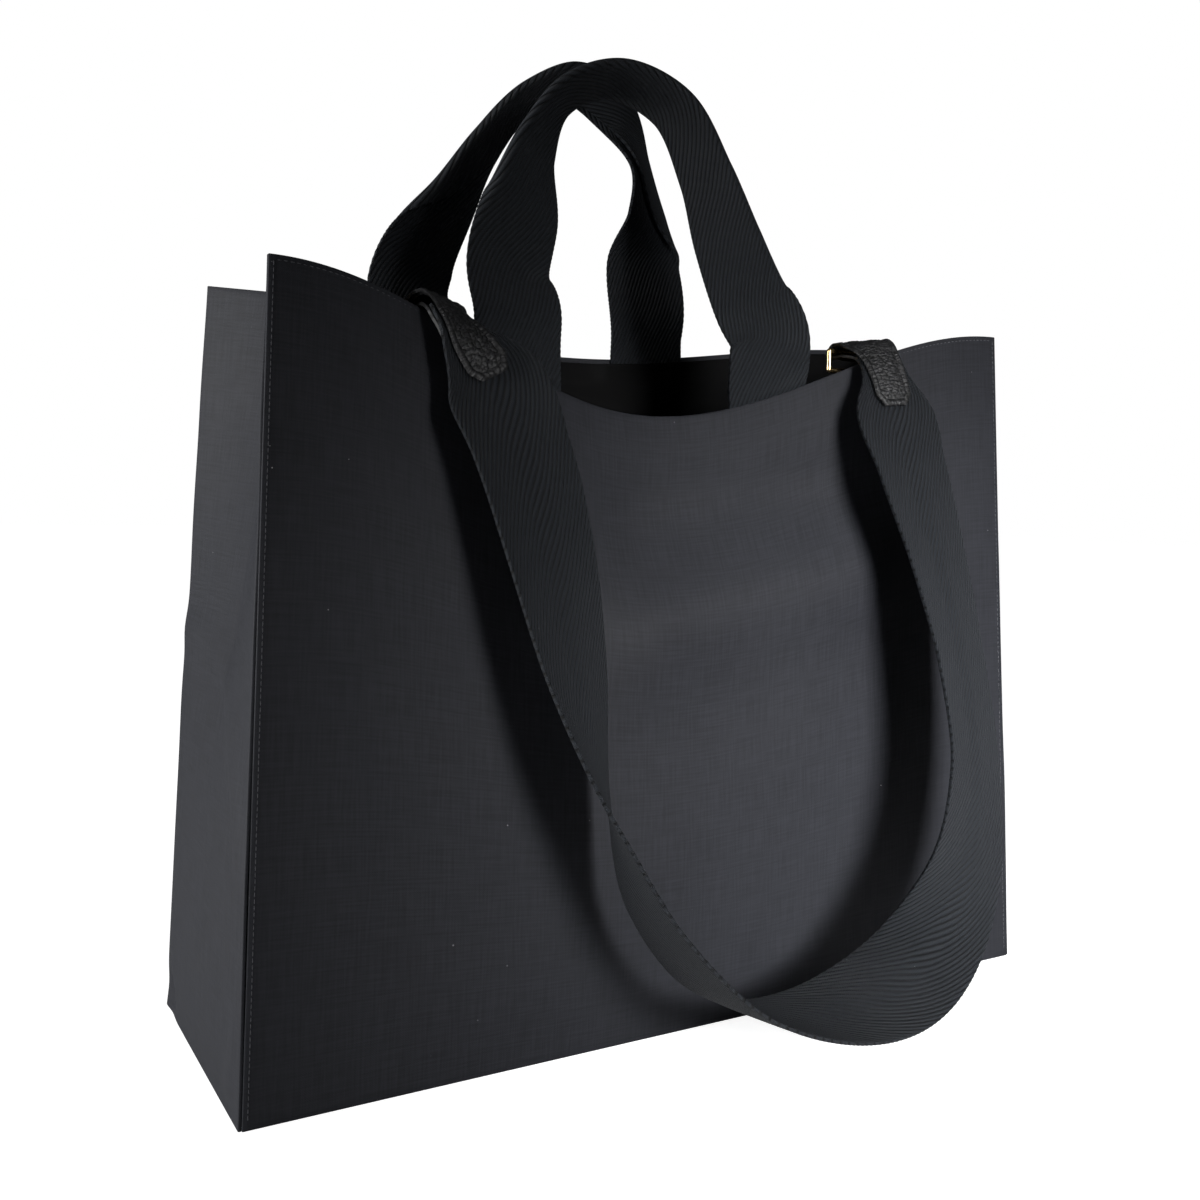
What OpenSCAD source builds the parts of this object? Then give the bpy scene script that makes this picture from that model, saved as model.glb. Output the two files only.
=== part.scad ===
// Structured canvas tote bag: open top, gusseted sides, two webbing carry
// handles and a webbing shoulder strap that clips to two rings inside the mouth.
// Origin: centre of the base, on the resting face. +Z up, -Y is the front.

/* [Bag body] */
// Width across the base
bag_w = 460; // [340:1:560]
// Depth across the base
bag_d = 150; // [110:1:200]
// Height of the four corner seams
bag_h = 370; // [290:1:450]
// How far each corner seam leans in along the width
lean_w = 16; // [4:1:30]
// How far each corner seam leans in along the depth
lean_d = 20; // [4:1:30]
// Thickness of the bonded canvas
canvas_t = 1.6; // [1.2:0.1:2.4]
// Dip of the front top edge below the corners
front_dip = 57; // [20:1:80]
// Dip of the back top edge below the corners
back_dip = 20; // [5:1:60]
// Sideways slump of the open mouth at its middle
slump = -17; // [-30:1:30]
// How far the front mouth edge sags inward at its middle
mouth_sag = 12; // [0:1:25]
// Outward belly of the front and back panels
belly = 8; // [0:1:16]
// Depth of the inward fold of each gusset at the mouth
fold_d = 30; // [10:1:45]

/* [Inside] */
// Thickness of the lining cloth
lining_t = 0.8; // [0.6:0.1:1.2]
// Height of the canvas facing inside the mouth
facing_h = 62; // [56:1:75]
// Thickness of the base stiffener board
board_t = 2.2; // [1.5:0.1:4]
// Clearance between layers that are sewn or laid together
layer_gap = 0.25; // [0.15:0.05:0.5]

/* [Handles] */
// Width of the flat handle webbing
handle_w = 48; // [34:1:52]
// Width of the folded and sewn grip
grip_w = 27; // [20:1:32]
// Thickness of one layer of webbing
web_t = 1.8; // [1.4:0.1:2.4]
// Half of the distance between the legs of a handle
leg_half = 75; // [68:1:78]
// How far left of the mouth's slump the back handle is sewn
back_shift = 18; // [8:1:22]
// Rise of a handle above its hinge line
handle_rise = 135; // [105:1:165]
// Length of webbing sewn inside the panel
sewn_l = 42; // [30:1:48]
// Height of the line where a handle starts to flex, above the mouth edge
flex_h = 4.5; // [4:0.5:8]

/* [Shoulder strap] */
// Width of the strap webbing
strap_w = 50; // [38:1:54]
// Half of the distance between the two hooks
hook_half = 128; // [127:1:134]
// Width of the leather tab at each strap end
tab_w = 26; // [22:1:28]
// Thickness of the leather
leather_t = 1.5; // [1.2:0.1:2]
// Length of each leather tab from its fold to its tip
tab_l = 50; // [40:1:60]

/* [Hardware] */
// Diameter of the wire of rings, eyes and hooks
wire_d = 3; // [2.4:0.1:3.4]
// Clear inner width of the ring and of the swivel eye
ring_w = 28; // [28:1:31]
// Clear inner height of the swivel eye
eye_h = 9; // [8:0.5:12]
// Outer diameter of the swivel barrel
barrel_d = 7; // [6:0.5:9]
// Height of the swivel barrel
barrel_h = 5; // [4:0.5:7]
// Outer width of the snap hook
hook_w = 17; // [15:0.5:20]
// Outer height of the snap hook below its barrel
hook_h = 26; // [24:0.5:30]
// Diameter of the gate's hinge pin
pin_d = 1.2; // [1:0.1:1.4]
// Clearance between a piece that moves and its neighbours
turn_gap = 0.35; // [0.3:0.05:0.5]
// Radial clearance of a pin or post in its bore
bore_gap = 0.08; // [0.05:0.01:0.1]

/* [Hidden] */

canvas_col = "#15161b";
lining_col = "#2a2a2e";
web_col = "#101319";
leather_col = "#17171a";
gold_col = "#c9a24f";
board_col = "#6e6a62";

half_w = bag_w / 2;
half_d = bag_d / 2;
round_n = 32;

// Rows up a wall and columns across it; the end columns are one canvas wide.
wall_rows = [0, 0.06, 0.14, 0.23, 0.33, 0.43, 0.53, 0.63, 0.73, 0.82, 0.9, 0.96, 1];
across = [for (k = [-9 : 9]) k / 10];
fold_cols = [-1, -0.8, -0.6, -0.4, -0.2, 0, 0.2, 0.4, 0.6, 0.8, 1];
facing_rows = [0, 0.25, 0.5, 0.75, 1];

// ---- Shape of the bag ----
function seam_x(v) = half_w - lean_w * v;
function seam_y(v) = half_d - lean_d * v;
// 1 in the middle of the mouth, 0 at the corners, moved sideways by the slump
function mid(x, v) = let (
        c = slump, r = seam_x(v), s = x < c ? (c - x) / (r + c) : (x - c) / (r - c)
    ) pow(cos(90 * min(1, max(0, s))), 2);
function rim_z(x, dip) = bag_h - dip * mid(x, 1);
// Depth of the outer face of the front (side -1) or back (side 1) panel
function face_y(x, v, side) = side * (seam_y(v)
        + belly * sin(180 * pow(v, 0.85)) * mid(x, v)
        - (side < 0 ? mouth_sag : 0) * pow(v, 3) * mid(x, 1));
function dip_of(side) = side < 0 ? front_dip : back_dip;
// Point on a wall, inset from the outer face and from the corner seam
function wall_pt(k, v, side, inset, edge) = let (
        r = seam_x(v) - edge, x = k * r,
        z = v * rim_z(k * seam_x(1), dip_of(side))
    ) [x, face_y(x, v, side) - side * inset, z];
// Inward fold of a gusset, s runs -1 at the front to 1 at the back
function fold_in(s, v) = fold_d * pow(v, 1.7) * (1 - pow(abs(s), 1.25))
        - 5 * sin(180 * v) * (1 - s * s) * (1 - v);
function gusset_pt(s, v, side, inset, edge) = let (
        yf = face_y(seam_x(v), v, -1) + edge, yb = face_y(seam_x(v), v, 1) - edge,
        y = (yf + yb) / 2 + s * (yb - yf) / 2, fold_s = s * (yb - yf) / (yb - yf + 2 * edge)
    ) [side * (seam_x(v) - fold_in(fold_s, v) - inset), y, v * (bag_h - 8 * v * (1 - abs(fold_s)))];

// ---- Sheet and ribbon builders ----
// Closed sheet from two grids of points, seen from its first grid's side
module sheet(first, second, flip = false) {
    n = len(first);
    m = len(first[0]);
    pts = concat([for (row = first) each row], [for (row = second) each row]);
    a = function (i, j) i * m + j;
    b = function (i, j) n * m + i * m + j;
    quads = concat(
        [for (i = [0 : n - 2], j = [0 : m - 2]) each [
            [a(i, j), a(i + 1, j), a(i + 1, j + 1)], [a(i, j), a(i + 1, j + 1), a(i, j + 1)],
            [b(i, j), b(i + 1, j + 1), b(i + 1, j)], [b(i, j), b(i, j + 1), b(i + 1, j + 1)]]],
        [for (i = [0 : n - 2]) each [
            [a(i, 0), b(i, 0), b(i + 1, 0)], [a(i, 0), b(i + 1, 0), a(i + 1, 0)],
            [a(i, m - 1), b(i + 1, m - 1), b(i, m - 1)],
            [a(i, m - 1), a(i + 1, m - 1), b(i + 1, m - 1)]]],
        [for (j = [0 : m - 2]) each [
            [a(0, j), b(0, j + 1), b(0, j)], [a(0, j), a(0, j + 1), b(0, j + 1)],
            [a(n - 1, j), b(n - 1, j), b(n - 1, j + 1)],
            [a(n - 1, j), b(n - 1, j + 1), a(n - 1, j + 1)]]]
    );
    polyhedron(pts, flip ? [for (f = quads) [f[0], f[2], f[1]]] : quads);
}

// Smooth curve through stations [x, y, z, turn, width, thickness, lean]; t counts the stations
function xyz(p) = [p[0], p[1], p[2]];
function unit(v) = v / norm(v);
function gap_to(p, i) = norm(xyz(p[i + 1]) - xyz(p[i]));
function slope_at(p, i) = let (n = len(p) - 1)
    i == 0 ? (p[1] - p[0]) / gap_to(p, 0) :
    i == n ? (p[n] - p[n - 1]) / gap_to(p, n - 1) :
    let (a = gap_to(p, i - 1), b = gap_to(p, i))
        (p[i] - p[i - 1]) / a - (p[i + 1] - p[i - 1]) / (a + b) + (p[i + 1] - p[i]) / b;
function spline(p, t) = let (
        i = min(len(p) - 2, floor(t)), u = t - i, d = gap_to(p, i),
        a = p[i], b = p[i + 1], ma = slope_at(p, i) * d, mb = slope_at(p, i + 1) * d
    ) a * (2 * u * u * u - 3 * u * u + 1) + ma * (u * u * u - 2 * u * u + u)
        + b * (3 * u * u - 2 * u * u * u) + mb * (u * u * u - u * u);
function run_dir(p, t) = unit(xyz(spline(p, min(len(p) - 1, t + 0.02))) - xyz(spline(p, max(0, t - 0.02))));
// Across a ribbon: turned from the plane of its arch towards the front, or where it leans 1, upwards
function cross_dir(p, t, arch) = let (
        d = run_dir(p, t), s = spline(p, t), turn = s[3],
        out = [0, -cos(90 * s[6]), sin(90 * s[6])],
        flat_dir = unit(cross(d, out) * arch), out_dir = unit(out - (out * d) * d)
    ) cos(turn) * flat_dir + sin(turn) * out_dir;

// Flat ribbon from station t0 to station t1, with a ring about every step along it
// and a short step within the first and last few stations
short_step = 4;
module ribbon(p, t0, t1, step, arch, lift = 0, short_n = 0) {
    near_end = function (i) i < short_n || i >= len(p) - 1 - short_n;
    inside = [for (i = [floor(t0) : ceil(t1) - 1])
        let (n = max(1, round(gap_to(p, i) / (near_end(i) ? short_step : step))))
            each [for (j = [0 : n - 1]) i + j / n]];
    ts = concat([t0], [for (t = inside) if (t > t0 + 0.05 && t < t1 - 0.05) t], [t1]);
    rows = [for (t = ts) let (
            s = spline(p, t), c = xyz(s), w = cross_dir(p, t, arch), n = cross(run_dir(p, t), w),
            m = c + n * lift, h = w * s[4] / 2, k = n * s[5] / 2
        ) [[m - h + k, m + h + k], [m - h - k, m + h - k]]];
    sheet([for (r = rows) r[0]], [for (r = rows) r[1]], true);
}

// ---- Handles ----
flex_gap = 5.2;
function rim_y(x, side) = face_y(x, 1, side);
leg_out = leg_half + handle_w / 2;
leg_in = leg_half - handle_w / 2;
function leg_x(side) = slump - (side < 0 ? 0 : back_shift);
// Middle of the handle webbing where it comes out of the mouth
function leg_y(side) = rim_y(leg_x(side) - leg_half, side) - side * (canvas_t + layer_gap + web_t / 2);
function leg_z(side) = rim_z(leg_x(side) - leg_out, dip_of(side)) + flex_h;
// Turn of the leg that lays it along the curved panel
function leg_turn(side) = atan((rim_y(leg_x(side) - leg_in, side) - rim_y(leg_x(side) - leg_out, side)) / handle_w);
// Arches from left foot to right foot: share of the spread, lean to the back in mm, share of the rise,
// turn in degrees, share of the fold
front_arch = [
    [-1, 0, 0, 0, 0], [-1, 0, 0.08, 0, 0], [-1, 9, 0.25, 2, 0.04], [-0.84, 19, 0.49, 10, 0.34],
    [-0.71, 26, 0.72, 28, 0.78], [-0.48, 30, 0.92, 44, 1], [-0.1, 30, 1, 50, 1], [0.3, 26, 0.93, 40, 1],
    [0.58, 20, 0.7, 20, 0.86], [0.72, 12, 0.45, 6, 0.5], [0.88, 4, 0.22, 0, 0.16], [1, 0, 0.08, 0, 0],
    [1, 0, 0, 0, 0]];
back_arch = [
    [-1, 0, 0, 0, 0], [-1, 0, 0.08, 0, 0], [-0.88, 9, 0.25, 8, 0.14], [-0.64, 13, 0.45, 12, 0.6],
    [-0.4, 10, 0.69, 22, 0.97], [-0.1, 4, 0.88, 32, 1], [0.27, 0, 0.97, 36, 1], [0.61, 0, 0.89, 8, 1],
    [0.85, 0, 0.71, -34, 1], [0.93, 0, 0.5, -30, 0.8], [0.95, 0, 0.26, -2, 0.16], [1, 0, 0.08, 0, 0],
    [1, 0, 0, 0, 0]];
arch_last = len(front_arch) - 1;
grip_t = 2 * web_t + 0.4;
function handle_path(side) = [for (a = side < 0 ? front_arch : back_arch) [
    leg_x(side) + leg_half * a[0],
    leg_y(side) + a[1],
    leg_z(side) + handle_rise * a[2],
    a[3] + leg_turn(side) * (1 - a[2]),
    handle_w + (grip_w - handle_w) * a[4],
    web_t + (grip_t - web_t) * a[4], 0]];

module handle(side) {
    color(web_col) ribbon(handle_path(side), 0, arch_last, 8, -1);
}

// Ends of one handle, sewn between the panel and the facing
module handle_ends(side) {
    top = leg_z(side) - flex_gap;
    color(web_col)
    for (sign = [-1, 1]) {
        x = leg_x(side) + sign * leg_half;
        face = function (inset) [for (l = [0 : 6]) [for (e = [-2 : 2])
            end_pt(x + e * handle_w / 4, top - sewn_l * (1 - l / 6), side, inset)]];
        sheet(face(canvas_t + layer_gap), face(canvas_t + layer_gap + web_t), side > 0);
    }
}
function end_pt(x, z, side, inset) =
    [x, face_y(x, min(1, z / rim_z(x, dip_of(side))), side) - side * inset, z];

// ---- Bag walls ----
module wall(side, inset, thick, edge, rows) {
    cols = concat([-1], across, [1]);
    grid = function (d) [for (v = rows) [for (k = cols) wall_pt(k, v, side, d, edge)]];
    sheet(grid(inset), grid(inset + thick), side > 0);
}
module gusset(side, inset, thick, edge, rows) {
    grid = function (d) [for (v = rows) [for (s = fold_cols) gusset_pt(s, v, side, d, edge)]];
    sheet(grid(inset), grid(inset + thick), side < 0);
}
module front_panel() { color(canvas_col) wall(-1, 0, canvas_t, 0, wall_rows); }
module back_panel() { color(canvas_col) wall(1, 0, canvas_t, 0, wall_rows); }
module left_gusset() { color(canvas_col) gusset(-1, 0, canvas_t, canvas_t + layer_gap, wall_rows); }
module right_gusset() { color(canvas_col) gusset(1, 0, canvas_t, canvas_t + layer_gap, wall_rows); }

module floor_sheet(inset, z, thick) {
    translate([-half_w + inset, -half_d + inset, z])
        cube([bag_w - 2 * inset, bag_d - 2 * inset, thick]);
}
base_inset = canvas_t + 4 * layer_gap;
board_z = canvas_t + layer_gap;
board_inset = base_inset + 4;
lining_in = canvas_t + layer_gap + web_t + layer_gap;
lining_z = board_z + board_t + layer_gap;
module base_panel() { color(canvas_col) floor_sheet(base_inset, 0, canvas_t); }
module base_board() { color(board_col) floor_sheet(board_inset, board_z, board_t); }
module base_lining() { color(lining_col) floor_sheet(lining_in + lining_t + 6, lining_z, lining_t); }

// Lining rows start above the board and end under the facing
lining_top = 1 - (facing_h + 2) / (bag_h - front_dip);
lining_rows = [for (r = [0 : 8]) 0.02 + (lining_top - 0.02) * r / 8];
facing_band = [for (r = facing_rows) lining_top + 0.01 + (0.982 - lining_top) * r];
wall_edge = lining_in + lining_t;
module front_lining() { color(lining_col) wall(-1, lining_in, lining_t, wall_edge, lining_rows); }
module back_lining() { color(lining_col) wall(1, lining_in, lining_t, wall_edge, lining_rows); }
module side_lining(side) {
    color(lining_col) gusset(side, canvas_t + layer_gap, lining_t, wall_edge + layer_gap, lining_rows);
}
module left_lining() { side_lining(-1); }
module right_lining() { side_lining(1); }
module front_facing() { color(canvas_col) wall(-1, lining_in, canvas_t / 2, wall_edge, facing_band); }
module back_facing() { color(canvas_col) wall(1, lining_in, canvas_t / 2, wall_edge, facing_band); }
module side_facing(side) {
    color(canvas_col) gusset(side, canvas_t + layer_gap, canvas_t / 2, wall_edge + layer_gap, facing_band);
}
module left_facing() { side_facing(-1); }
module right_facing() { side_facing(1); }

// ---- Strap hardware, drawn round the bar of the swivel eye ----
wire_r = wire_d / 2;
tab_half_stack = web_t / 2 + layer_gap + leather_t;
// The hooks follow part of the mouth's slump
function hook_x(side) = side * hook_half + 0.4 * slump;
// Turn that lays a tab along the sloping mouth edge, and the lowest bar that clears its high corner
rim_turn = 18;
corner_z = max([for (s = [-1, 1]) rim_z(hook_x(s) + s * tab_w / 2, front_dip)]);
bar_z = corner_z - tab_w / 2 * tan(rim_turn) + tab_half_stack + 1.4;
// Face of the facing at the hooks, and the eye's place behind it
rim_front = [for (s = [-1, 1]) rim_y(hook_x(s), -1)];
inner_y = max(rim_front) + lining_in + canvas_t / 2;
hook_gap = 2;
bar_y = inner_y + hook_w / 2 + hook_gap;
eye_low = -eye_h - wire_d;
post_low = eye_low - turn_gap - barrel_h - turn_gap;
module at_hook(side) { translate([hook_x(side), bar_y, bar_z]) children(); }
module rod(a, b, d) {
    v = b - a;
    translate(a) rotate([0, acos(v[2] / norm(v)), atan2(v[1], v[0])]) cylinder(d = d, h = norm(v), $fn = round_n);
}

// Swivel eye: a closed frame with a post and its head below
module eye(side) {
    w = ring_w / 2 + wire_r;
    color(gold_col) at_hook(side) union() {
        rod([-w, 0, 0], [w, 0, 0], wire_d);
        rod([-w, 0, eye_low + wire_r], [w, 0, eye_low + wire_r], wire_d);
        for (s = [-1, 1]) {
            rod([s * w, 0, 0], [s * w, 0, eye_low + wire_r], wire_d);
            for (z = [0, eye_low + wire_r]) translate([s * w, 0, z]) sphere(d = wire_d, $fn = round_n);
        }
        rod([0, 0, eye_low + wire_r], [0, 0, post_low - 0.5], wire_d);
        translate([0, 0, post_low - 1.6]) cylinder(d = wire_d + 2, h = 1.6, $fn = round_n);
    }
}

// Snap hook: barrel on the post, a back rod, a round nose and an open side for the gate
hook_top = eye_low - turn_gap - barrel_h;
hook_mid = hook_top - hook_h + hook_w / 2;
gate_y = hook_w / 2 - wire_r;
pin_z = hook_top - 4.5;
nose_z = hook_mid + 1;
module hook(side) {
    color(gold_col) at_hook(side) difference() {
        union() {
            translate([0, 0, hook_top]) cylinder(d = barrel_d, h = barrel_h, $fn = round_n);
            rod([0, -gate_y, hook_top + 1], [0, -gate_y, hook_mid], wire_d);
            translate([-barrel_d / 2, -gate_y - wire_r, hook_top])
                cube([barrel_d, gate_y * 2 + wire_d, 2]);
            for (s = [-1, 1])
                translate([s * (wire_r + turn_gap + 0.5) - 0.5, gate_y - wire_r, pin_z - 1.8])
                    cube([1, wire_d, hook_top - pin_z + 2.2]);
            translate([0, 0, hook_mid]) rotate([90, 0, 90])
                rotate_extrude(angle = -180, $fn = round_n) translate([gate_y, 0]) circle(d = wire_d, $fn = round_n);
            rod([0, gate_y, hook_mid], [0, gate_y, nose_z], wire_d);
        }
        translate([0, 0, hook_top - 0.1])
            cylinder(d = wire_d + 2 * bore_gap, h = barrel_h + 0.2, $fn = round_n);
        translate([-barrel_d, gate_y, pin_z]) rotate([0, 90, 0])
            cylinder(d = pin_d, h = 2 * barrel_d, $fn = round_n);
    }
}
module gate_pin(side) {
    reach = wire_r + turn_gap + 1;
    color(gold_col) at_hook(side) translate([-reach, gate_y, pin_z]) rotate([0, 90, 0])
        cylinder(d = pin_d, h = 2 * reach, $fn = round_n);
}
module gate(side) {
    color(gold_col) at_hook(side) difference() {
        union() {
            rod([0, gate_y, pin_z], [0, gate_y, nose_z + turn_gap], wire_d - 0.2);
            translate([-wire_r, gate_y, pin_z]) rotate([0, 90, 0]) cylinder(d = wire_d - 0.2, h = wire_d, $fn = round_n);
        }
        translate([-barrel_d, gate_y, pin_z]) rotate([0, 90, 0])
            cylinder(d = pin_d + 2 * bore_gap, h = 2 * barrel_d, $fn = round_n);
    }
}

// D-ring: its straight bar lies in the leather ring tab, its bow passes through the hook
bow_r = ring_w / 2 + wire_r;
bow_z = hook_mid - hook_w / 2 + wire_d + 3;
ring_z = bow_z - bow_r;
module ring(side) {
    color(gold_col) at_hook(side) translate([0, 0, ring_z]) {
        rod([-bow_r, 0, 0], [bow_r, 0, 0], wire_d);
        for (s = [-1, 1]) translate([s * bow_r, 0, 0]) sphere(d = wire_d, $fn = round_n);
        rotate([90, 0, 0]) rotate_extrude(angle = 180, $fn = round_n)
            translate([bow_r, 0]) circle(d = wire_d, $fn = round_n);
    }
}
// Leather loop round the ring's bar, its leaf sewn to the facing below
loop_in = wire_r + turn_gap;
leaf_l = 16;
leaf_v = (bar_z + ring_z) / rim_z(hook_x(1), front_dip);
leaf_y = max([for (s = [-1, 1], e = [-1, 1]) face_y(hook_x(s) + e * ring_w / 2, leaf_v, -1)])
        + lining_in + canvas_t / 2 + 4 * layer_gap - bar_y;
module ring_tab(side) {
    width = ring_w - 4;
    color(leather_col) at_hook(side) translate([-width / 2, 0, ring_z]) rotate([90, 0, 90])
        linear_extrude(width) difference() {
            union() {
                circle(r = loop_in + leather_t, $fn = round_n);
                translate([leaf_y, -leaf_l]) square([-leaf_y, leaf_l]);
            }
            circle(r = loop_in, $fn = round_n);
            translate([leaf_y + 2 * leather_t, -leaf_l - 1]) square([leather_t - leaf_y, leaf_l - loop_in]);
        }
}

// ---- Shoulder strap ----
// Stations of the hanging strap from the left tab to the right: x, y, z, turn, webbing width, lean.
// It leaves the eye's bar, bends over the mouth edge, hangs in front of the bag and
// turns one edge outwards at the bottom. The left tab drifts towards the middle.
over_y = min(rim_front) - 1.5;
function drift(side) = side < 0 ? 17 : 1;
function tab_station(side, along, out, down, turn, width, lean) = [
        hook_x(side) + along * drift(side), over_y - out * tab_l, bar_z - down * tab_l, turn, width, lean];
function tab_stations(side) = [
    [hook_x(side), bar_y - 5, bar_z, 0, tab_w - 2, 1],
    tab_station(side, 0, 0, 0, rim_turn, tab_w - 2, 1),
    tab_station(side, 0.12, 0.13, 0.12, rim_turn - 2, tab_w - 2, 0.7),
    tab_station(side, 0.45, 0.25, 0.32, 10, tab_w + 4, 0.2),
    tab_station(side, 1, 0.37, 0.62, 5, strap_w - 2, 0)];
hang = [
    [-107, -83, 290, 6], [-97, -93, 245, 14], [-86, -100, 190, 32],
    [-75, -110, 134, 62], [-58, -126, 80, 90], [-22, -138, 40, 98],
    [32, -141, 26, 80], [84, -142, 38, 46], [124, -136, 77, 8],
    [142, -124, 132, -14], [142, -110, 190, -18], [134, -96, 247, -12], [126, -83, 292, -3]];
stations = concat(tab_stations(-1), [for (p = hang) concat(p, [strap_w, 0])],
    [for (k = [4 : -1 : 0]) tab_stations(1)[k]]);
last = len(stations) - 1;
strap_path = [for (p = stations) [p[0], p[1], p[2], p[3], p[4], web_t, p[5]]];
tab_path = [for (p = stations) [p[0], p[1], p[2], p[3], tab_w, leather_t, p[5]]];
web_from = 1.5;
module shoulder_strap() { color(web_col) ribbon(strap_path, web_from, last - web_from, 11, 1, 0, 4); }

// Leather tab: a loop round the eye's bar and two leaves that hold the webbing between them
leaf_off = web_t / 2 + layer_gap + leather_t / 2;
neck_h = 2 * leaf_off + leather_t + 0.4;
module strap_tab(side) {
    t0 = side < 0 ? 0 : last - 4;
    t1 = side < 0 ? 4 : last;
    color(leather_col) {
        for (lift = [-leaf_off, leaf_off]) ribbon(tab_path, t0, t1, short_step, 1, lift);
        at_hook(side) translate([0.5 - tab_w / 2, 0, 0]) rotate([90, 0, 90]) linear_extrude(tab_w - 1)
            difference() {
                union() {
                    circle(r = loop_in + leather_t, $fn = round_n);
                    translate([-7, -neck_h / 2]) square([7, neck_h]);
                }
                circle(r = loop_in, $fn = round_n);
            }
    }
}

front_panel();
back_panel();
left_gusset();
right_gusset();
base_panel();
base_board();
front_lining();
back_lining();
left_lining();
right_lining();
base_lining();
front_facing();
back_facing();
left_facing();
right_facing();
handle(-1);  // front_handle
handle(1);  // back_handle
handle_ends(-1);  // front_handle_ends
handle_ends(1);  // back_handle_ends
shoulder_strap();
strap_tab(-1);  // left_strap_tab
strap_tab(1);  // right_strap_tab
ring_tab(-1);  // left_ring_tab
ring_tab(1);  // right_ring_tab
ring(-1);  // left_ring
ring(1);  // right_ring
eye(-1);  // left_eye
eye(1);  // right_eye
hook(-1);  // left_hook
hook(1);  // right_hook
gate(-1);  // left_gate
gate(1);  // right_gate
gate_pin(-1);  // left_gate_pin
gate_pin(1);  // right_gate_pin
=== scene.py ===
import bmesh
import bpy
import math
import random
from mathutils import Matrix, Vector, noise


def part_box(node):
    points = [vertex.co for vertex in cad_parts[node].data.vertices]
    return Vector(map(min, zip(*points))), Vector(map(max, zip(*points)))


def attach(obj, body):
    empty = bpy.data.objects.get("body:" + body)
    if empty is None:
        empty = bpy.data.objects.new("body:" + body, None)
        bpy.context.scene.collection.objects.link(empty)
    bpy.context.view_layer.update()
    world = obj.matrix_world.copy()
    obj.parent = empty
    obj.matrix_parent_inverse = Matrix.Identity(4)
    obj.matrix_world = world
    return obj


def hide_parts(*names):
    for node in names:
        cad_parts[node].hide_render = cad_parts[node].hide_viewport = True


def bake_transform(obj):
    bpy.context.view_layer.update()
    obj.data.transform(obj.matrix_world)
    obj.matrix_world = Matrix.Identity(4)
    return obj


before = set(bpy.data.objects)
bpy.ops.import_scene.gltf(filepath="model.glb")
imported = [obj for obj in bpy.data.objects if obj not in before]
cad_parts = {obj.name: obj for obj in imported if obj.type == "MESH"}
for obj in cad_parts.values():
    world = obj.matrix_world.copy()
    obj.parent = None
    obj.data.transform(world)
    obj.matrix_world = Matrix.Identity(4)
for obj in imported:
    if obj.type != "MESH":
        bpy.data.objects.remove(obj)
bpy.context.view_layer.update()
mm = 0.001
random.seed(7)

# the bag's own sizes in millimetres, as the frame was designed
bag = {"halfWidth": 230, "halfDepth": 75, "height": 370, "leanWidth": 16, "leanDepth": 20,
       "frontDip": 57, "backDip": 20, "slump": -17, "mouthSag": 12, "belly": 8, "foldDepth": 30,
       "canvas": 1.6, "lining": 0.8, "facingHeight": 62, "board": 2.2, "gap": 0.25, "webbing": 1.8}


def deselectAll():
    if bpy.context.mode != "OBJECT":
        bpy.ops.object.mode_set(mode="OBJECT")
    bpy.ops.object.select_all(action="DESELECT")


def selectOnly(piece):
    deselectAll()
    piece.select_set(True)
    bpy.context.view_layer.objects.active = piece


def smooth(low, high, value):
    t = min(1, max(0, (value - low) / (high - low)))
    return t * t * (3 - 2 * t)


def bump(value, middle, spread):
    return math.exp(-((value - middle) / spread) ** 2)


def ripple(x, y, z, size):
    return noise.noise(Vector((x / size, y / size, z / size)))


# a flat grid whose points are then moved to their places; the UV map keeps the cloth's real size
def clothGrid(name, across, along, flat, place, flip=False, chart=None):
    deselectAll()
    bpy.ops.mesh.primitive_grid_add(x_subdivisions=across, y_subdivisions=along, size=2)
    piece = bpy.context.object
    piece.name = piece.data.name = name
    for vertex in piece.data.vertices:
        vertex.co = Vector(place((vertex.co.x + 1) / 2, (vertex.co.y + 1) / 2)) * mm
    for corner in piece.data.uv_layers.active.data:
        u, w = corner.uv
        corner.uv = ((chart(u, w) if chart else u * flat[0]) * mm, w * flat[1] * mm)
    if flip:
        bpy.ops.object.mode_set(mode="EDIT")
        bpy.ops.mesh.select_all(action="SELECT")
        bpy.ops.mesh.flip_normals()
        bpy.ops.object.mode_set(mode="OBJECT")
    return piece


def applyAll(piece):
    selectOnly(piece)
    for modifier in list(piece.modifiers):
        bpy.ops.object.modifier_apply(modifier=modifier.name)


# thickness in from the face, then a rounded cut edge
def thicken(piece, thick, offset=-1, edge=0.45):
    solid = piece.modifiers.new("thickness", "SOLIDIFY")
    solid.thickness = thick * mm
    solid.offset = offset
    solid.use_even_offset = False
    softEdge = piece.modifiers.new("edge", "BEVEL")
    softEdge.width = edge * mm
    softEdge.segments = 2
    softEdge.limit_method = "ANGLE"
    softEdge.angle_limit = math.radians(60)
    applyAll(piece)
    bpy.ops.object.shade_smooth_by_angle(angle=math.radians(50))
    return piece


def dress(piece, material, body, slot, *nodes):
    piece.data.materials.clear()
    piece.data.materials.append(material)
    if body:
        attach(piece, body)
    if nodes:
        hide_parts(*nodes)
    return piece


# node groups shared by the materials
def newGroup(name, inputs, outputs):
    group = bpy.data.node_groups.new(name, "ShaderNodeTree")
    for title, kind, value in inputs:
        socket = group.interface.new_socket(title, in_out="INPUT", socket_type=kind)
        if value is not None:
            socket.default_value = value
    for title, kind in outputs:
        group.interface.new_socket(title, in_out="OUTPUT", socket_type=kind)
    return group, group.nodes.new("NodeGroupInput"), group.nodes.new("NodeGroupOutput")


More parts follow.
